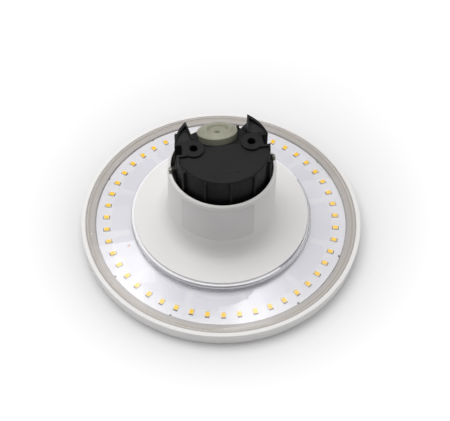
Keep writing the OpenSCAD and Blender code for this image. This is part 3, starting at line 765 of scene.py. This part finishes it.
# ---------------------------------------------------------------- wall base
def softened(name, node, width, segments=2, limit=30):
    """A copy of a CAD node's mesh with its flat faces rejoined and its edges rounded."""
    bm = bmesh.new()
    bm.from_mesh(nodes[node].data)
    bmesh.ops.remove_doubles(bm, verts=bm.verts, dist=4e-6)
    bmesh.ops.dissolve_degenerate(bm, dist=2e-6, edges=bm.edges)
    bmesh.ops.dissolve_limit(bm, angle_limit=radians(1.2), verts=bm.verts, edges=bm.edges)
    edges = [e for e in bm.edges if len(e.link_faces) == 2 and e.calc_face_angle() > radians(limit)]
    bmesh.ops.bevel(bm, geom=edges, offset=width * MM, offset_type="OFFSET", segments=segments, profile=0.5,
                    affect="EDGES", clamp_overlap=False, loop_slide=True)
    bmesh.ops.remove_doubles(bm, verts=bm.verts, dist=1e-6)
    bmesh.ops.recalc_face_normals(bm, faces=bm.faces)
    me = bpy.data.meshes.new(name)
    bm.to_mesh(me)
    bm.free()
    me.polygons.foreach_set("use_smooth", [True] * len(me.polygons))
    me.set_sharp_from_angle(angle=radians(38))
    ob = bpy.data.objects.new(name, me)
    scene.collection.objects.link(ob)
    return ob


base = softened("base_shell", "wall_base", 0.15)
base.data.materials.append(M["base_black"])
base.data.materials.append(EXTRA["horn_floor_painted_light"])
base.data.materials.append(EXTRA["base_side_painted_shade"])
pocket = Vector((0, sin(radians(9)), cos(radians(9))))
# horn pocket floors take the lighter copy of the black (painted light)
for poly in base.data.polygons:
    if poly.normal.dot(pocket) > 0.9995 and poly.center.y > 0.004:
        poly.material_index = 1
    # side walls take the darker copy of the black (painted shade)
    elif abs(poly.normal.z) < 0.3:
        poly.material_index = 2
weighted(base)
put(base, "base", "base_black", "wall_base")

# two small flow lines left by the mould on the plate, raised and coloured near-black as painted shade
for nm, pts, w in (("mould_line_a", [(3.5, -20.6), (4.4, -20.72), (5.3, -20.8), (6.1, -21.15), (6.9, -21.5)], 0.2),
                   ("mould_line_b", [(-0.9, -20.95), (-0.3, -20.5), (0.4, -20.25), (1.15, -20.12), (1.9, -20.12)], 0.1)):
    rows = []
    for i, (x, y) in enumerate(pts):
        q0, q1 = pts[max(i - 1, 0)], pts[min(i + 1, len(pts) - 1)]
        d = Vector((q1[0] - q0[0], q1[1] - q0[1])).normalized()
        nx, ny = -d.y, d.x
        k = w * (0.35 if i in (0, len(pts) - 1) else 1.0)
        rows.append([(x - nx * k, y - ny * k, 75.86), (x - nx * k * 0.6, y - ny * k * 0.6, 75.99),
                     (x + nx * k * 0.6, y + ny * k * 0.6, 75.99), (x + nx * k, y + ny * k, 75.86)])
    v, f = loft(rows)
    put(new_object(nm, v, f, mats=[EXTRA["mould_line_painted_shade"]], angle=50), "base", "base_black")

# ---------------------------------------------------------------- cable grommet, in the sloping frame
tilt = Matrix.Translation((-0.3, 14.9, 67.32)) @ Matrix.Rotation(radians(-23.6), 4, "X")
prof = rounded([(1.4, 3.2, 0.1), (1.7, 4.0, 0.15), (4.9, 4.0, 0.6), (5.8, 4.6, 0.7), (6.4, 5.9, 0.6), (7.1, 6.45, 0.6), (8.6, 6.4, 0.8),
                (9.5, 5.8, 0.4), (12.0, 4.75, 0.4), (12.4, 4.3, 0.45), (11.9, 0.02, 0.3), (9.0, 0.02, 0), (9.0, -2.4, 0), (10.4, -2.4, 0.3),
                (10.0, -4.4, 0.5), (7.6, -4.4, 0.5), (7.0, 2.0, 0.4), (5.8, 3.2, 0.5)], 6)
v, f = lathe_data(prof, 144)
# the dish lies a little to one side of the pilot hole, and a thin skin closes the hole
v = [(x + 0.45 * max(0.0, min(1.0, (math.hypot(x, y) - 1.8) / 2.6)) * max(0.0, min(1.0, (9.6 - math.hypot(x, y)) / 1.0)) * (z > 3.6), y, z) for x, y, z in v]
sv, sf = lathe_data([(0, 3.24), (1.62, 3.24), (1.62, 3.38), (0, 3.38)], 48)
# the skin is coloured darker than the rubber: painted shade at the bottom of the pilot hole
tones = [0] * len(f) + [1] * len(sf)
f = f + [[i + len(v) for i in q] for q in sf]
v = v + sv
grommet = new_object("rubber_grommet", move_all(v, tilt), f, mats=[M["grommet_grey"], EXTRA["grommet_skin_painted_shade"]], angle=50, face_mats=tones)
weighted(grommet)
put(grommet, "base", "grommet_grey", "cable_grommet")


# ---------------------------------------------------------------- set screws
def thread(name, side):
    """A slotted headless screw with a rolled thread, along X, its outer end at |x| = 32.6."""
    pitch, depth, R, length = 0.7, 0.40, 1.99, 12.0
    n_a, n_x = 40, 138
    rows = []
    for i in range(n_x + 1):
        x = length * i / n_x
        ring = []
        for j in range(n_a):
            a = 2 * pi * j / n_a
            ph = (x / pitch - j / n_a) % 1.0
            cut = max(0.0, 1 - abs(ph - 0.5) / 0.42) * depth
            lim = min(R, 1.35 + x * 0.95, R - 0.35 + (length - x) * 1.0)
            ring.append((x, max(min(R - cut, lim), 1.2), a))
        rows.append(ring)
    v = [(0.0, 0.0, 0.0)]
    for ring in rows:
        v += [(x, r * cos(a), r * sin(a)) for x, r, a in ring]
    v.append((length, 0.0, 0.0))
    f = []
    for i in range(n_x):
        for j in range(n_a):
            j2 = (j + 1) % n_a
            f.append([1 + i * n_a + j, 1 + i * n_a + j2, 1 + (i + 1) * n_a + j2, 1 + (i + 1) * n_a + j])
    last = 1 + n_x * n_a
    for j in range(n_a):
        j2 = (j + 1) % n_a
        f.append([0, 1 + j2, 1 + j])
        f.append([len(v) - 1, last + j, last + j2])
    place = Matrix.Translation((20.6, 0, 60.2))
    if side < 0:
        place = spin(180) @ place
    ob = new_object(name, move_all(v, place), f, mats=[M["set_screw_steel"]], angle=35)
    boolean(ob, [block("c", 31.4, 33.4, -2.5, 2.5, 59.9, 60.5, None if side > 0 else spin(180))], angle=35)
    return ob


put(thread("threaded_set_screw_left", -1), "set_screw_left", "set_screw_steel", "set_screw_left")
put(thread("threaded_set_screw_right", 1), "set_screw_right", "set_screw_steel", "set_screw_right")


# ---------------------------------------------------------------- leads
def catmull(points, per=6):
    out = []
    P = [Vector(p) for p in points]
    for i in range(len(P) - 1):
        p0, p1, p2, p3 = P[max(i - 1, 0)], P[i], P[i + 1], P[min(i + 2, len(P) - 1)]
        for k in range(per):
            t = k / per
            out.append(0.5 * (2 * p1 + (p2 - p0) * t + (2 * p0 - 5 * p1 + 4 * p2 - p3) * t * t + (3 * p1 - p0 - 3 * p2 + p3) * t ** 3))
    out.append(P[-1])
    return out


def wire(name, points, r, mat, n=14, per=6):
    pts = catmull(points, per)
    frames, side = [], None
    for i, p in enumerate(pts):
        t = (pts[min(i + 1, len(pts) - 1)] - pts[max(i - 1, 0)]).normalized()
        if side is None:
            side = t.orthogonal().normalized()
        side = (side - t * side.dot(t)).normalized()
        frames.append((p, side.copy(), t.cross(side)))
    rings = []
    for i, (p, u, w) in enumerate(frames):
        rings.append([tuple(p + (u * cos(2 * pi * j / n) + w * sin(2 * pi * j / n)) * r) for j in range(n)])
    v, f = loft(rings)
    return new_object(name, v, f, mats=[mat], angle=60)


route = [(4.5, -9, 14.6), (4.5, -9, 22), (4.5, -9, 29), (4, -8, 33), (3, -1, 36), (2.4, 8, 38.5), (2.4, 12, 42), (3, 8, 46),
         (4, -3, 48.5), (4.5, -13, 50), (4.5, -20, 53), (4.5, -23, 58.5), (4.5, -22, 63), (4.5, -19, 65), (4.5, -16.5, 65)]
for nm, s, mat in (("supply_lead_live", 1, M["lead_sleeve"]), ("supply_lead_neutral", -1, EXTRA["sleeve_blue"])):
    ob = wire(nm, [(s * x, y, z) for x, y, z in route], 0.95, mat)
    if s > 0:
        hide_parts("supply_leads")
    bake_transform(ob)

route = [(17.5, 14.6), (17.5, 16.2), (18.8, 17), (21, 17), (23.5, 16.6), (25.8, 15.2), (27.6, 13), (28.5, 10.5), (28.5, 8), (29.2, 5.6),
         (31.5, 4.1), (36, 3.6), (44, 3.6), (49.2, 3.7), (51.2, 4.6), (51.7, 6.5), (52.2, 8.3), (53.6, 9.1), (54.9, 8.2), (55, 6.5)]
for nm, s, mat in (("ring_lead_plus", 1, EXTRA["sleeve_red"]), ("ring_lead_minus", -1, EXTRA["sleeve_black"])):
    ob = wire(nm, [tuple(spin(150) @ Vector((r, s * 1.3, z))) for r, z in route], 0.6, mat, n=12)
    put(ob, "lamp", "lead_sleeve", *(["led_leads"] if s > 0 else []))

# ---------------------------------------------------------------- stage
me = bpy.data.meshes.new("floor")
S = 4.0
me.from_pydata([(-S, -S, -0.0002), (S, -S, -0.0002), (S, S, -0.0002), (-S, S, -0.0002)], [], [[0, 1, 2, 3]])
floor = bpy.data.objects.new("floor", me)
scene.collection.objects.link(floor)
ft = Mat("floor_pale", (0.80, 0.80, 0.805), 0.9, Specular_IOR_Level=0.1)
ft.p.inputs["Emission Color"].default_value = (1, 1, 1, 1)
# a pale floor that glows a little more away from the lamp; the weaker glow near the lamp paints its soft shadow
fr = ft.n("ShaderNodeMapRange", interpolation_type="LINEAR")
fr.inputs["From Min"].default_value = 90.0
fr.inputs["From Max"].default_value = 290.0
ft.link(ft.radius(), fr.inputs["Value"])
glow = ft.n("ShaderNodeValToRGB")
stops = [(0.0, 0.04), (0.02, 0.07), (0.04, 0.11), (0.07, 0.17), (0.11, 0.22), (0.18, 0.28), (0.28, 0.36), (0.5, 0.48), (1.0, 0.58)]
while len(glow.color_ramp.elements) < len(stops):
    glow.color_ramp.elements.new(0.5)
for e, (pos, val) in zip(glow.color_ramp.elements, stops):
    e.position, e.color = pos, (val, val, val, 1)
ft.link(fr.outputs[0], glow.inputs["Fac"])
# a little more in front, where the softbox above gives less, and little of it spills back on the lamp
fx, fy, fz = ft.xyz()
front = ft.math("SUBTRACT", 0.95, ft.math("MULTIPLY", ft.math("SINE", ft.math("ARCTAN2", fy, fx)), 0.35))
path = ft.n("ShaderNodeLightPath")
near_only = ft.math("SUBTRACT", 1.0, ft.math("MULTIPLY", fr.outputs[0], 2.5), clamp=True)
spill = ft.math("MAXIMUM", path.outputs["Is Camera Ray"], near_only)
# an even glow right under the lamp lights its front face
under = ft.math("MULTIPLY", ft.math("MULTIPLY", ft.math("SUBTRACT", 88.7, ft.radius()), 1.0, clamp=True), 0.3)
ft.link(ft.math("MAXIMUM", ft.math("MULTIPLY", ft.math("MULTIPLY", glow.outputs["Color"], front), spill), under), ft.p.inputs["Emission Strength"])
gm = ft.n("ShaderNodeNewGeometry")
fo = ft.n("ShaderNodeBsdfTransparent")
fm = ft.n("ShaderNodeMixShader")
ft.link(gm.outputs["Backfacing"], fm.inputs[0])
ft.link(ft.p.outputs[0], fm.inputs[1])
ft.link(fo.outputs[0], fm.inputs[2])
ft.link(fm.outputs[0], ft.out.inputs["Surface"])
me.materials.append(ft.m)

world = bpy.data.worlds.new("studio")
scene.world = world
world.use_nodes = True
wn = world.node_tree


def wmath(op, a, b):
    t = wn.nodes.new("ShaderNodeMath")
    t.operation = op
    for i, v in enumerate((a, b)):
        if isinstance(v, (int, float)):
            t.inputs[i].default_value = v
        else:
            wn.links.new(v, t.inputs[i])
    return t.outputs[0]


# the room: dim towards the viewer, brighter to the right and a little to the left
wc = wn.nodes.new("ShaderNodeTexCoord")
ws = wn.nodes.new("ShaderNodeSeparateXYZ")
wn.links.new(wc.outputs["Generated"], ws.inputs[0])
wx = ws.outputs[0]
to_right = wmath("POWER", wmath("MAXIMUM", wx, 0.0), 2.0)
to_left = wmath("POWER", wmath("MAXIMUM", wmath("MULTIPLY", wx, -1.0), 0.0), 2.0)
fill = wmath("ADD", wmath("ADD", wmath("MULTIPLY", to_right, 0.70), wmath("MULTIPLY", to_left, 0.52)), 0.10)
bg = wn.nodes["Background"]
bg.inputs["Color"].default_value = (1, 1, 1, 1)
wn.links.new(fill, bg.inputs["Strength"])
bg2 = wn.nodes.new("ShaderNodeBackground")
bg2.inputs["Color"].default_value = (1, 1, 1, 1)
bg2.inputs["Strength"].default_value = 1.0
lp = wn.nodes.new("ShaderNodeLightPath")
wm = wn.nodes.new("ShaderNodeMixShader")
wn.links.new(lp.outputs["Is Camera Ray"], wm.inputs[0])
wn.links.new(bg.outputs[0], wm.inputs[1])
wn.links.new(bg2.outputs[0], wm.inputs[2])
wn.links.new(wm.outputs[0], wn.nodes["World Output"].inputs["Surface"])


def panel(name, x0, x1, y0, y1, z, radiance):
    """A soft rectangular light overhead, facing down."""
    d = bpy.data.lights.new(name, "AREA")
    d.shape = "RECTANGLE"
    d.size, d.size_y = (x1 - x0) * MM, (y1 - y0) * MM
    d.energy = radiance * pi * d.size * d.size_y
    o = bpy.data.objects.new(name, d)
    o.location = ((x0 + x1) / 2 * MM, (y0 + y1) / 2 * MM, z * MM)
    scene.collection.objects.link(o)
    return o


# a big softbox whose far edge fades out in strips, as diffuser cloth does
strips = [(-420, -75, -100, 345, 3.55), (-75, 185, -100, 250, 3.55),
          (-420, -75, 345, 366, 2.8), (-420, -75, 366, 390, 2.1), (-420, -75, 390, 414, 1.4), (-420, -75, 414, 436, 0.6), (-420, -75, 436, 500, 0.25),
          (-75, -43, 250, 390, 2.9), (-75, -43, 390, 414, 2.4), (-75, -43, 414, 436, 0.8), (-75, -43, 436, 480, 0.4),
          (-43, -36, 250, 340, 2.0), (-43, -36, 340, 410, 3.1), (-36, -30, 250, 340, 1.8), (-36, -30, 340, 405, 2.8),
          (-30, -23, 250, 340, 1.5), (-30, -23, 340, 395, 2.4), (-23, -17, 250, 385, 1.4), (-17, -10, 250, 385, 1.0), (-10, -4, 250, 385, 0.6),
          (-4, 4, 272, 385, 0.3), (-4, 30, 250, 272, 0.5), (30, 55, 250, 272, 0.55), (55, 64, 250, 290, 0.8), (64, 70, 250, 290, 1.2),
          (70, 75, 250, 420, 1.6), (75, 80, 250, 420, 2.2), (80, 116, 250, 420, 2.9), (116, 124, 250, 335, 2.3),
          (124, 132, 250, 335, 2.0), (132, 141, 250, 335, 1.7), (141, 150, 250, 335, 1.4), (150, 162, 250, 335, 1.1), (162, 172, 250, 335, 0.8),
          (172, 460, 150, 480, 0.6)]
for k, (x0, x1, y0, y1, level_) in enumerate(strips):
    panel("softbox_%02d" % k, x0, x1, y0, y1, 600, level_)
panel("fill_right", 260, 760, -420, 180, 520, 0.42)
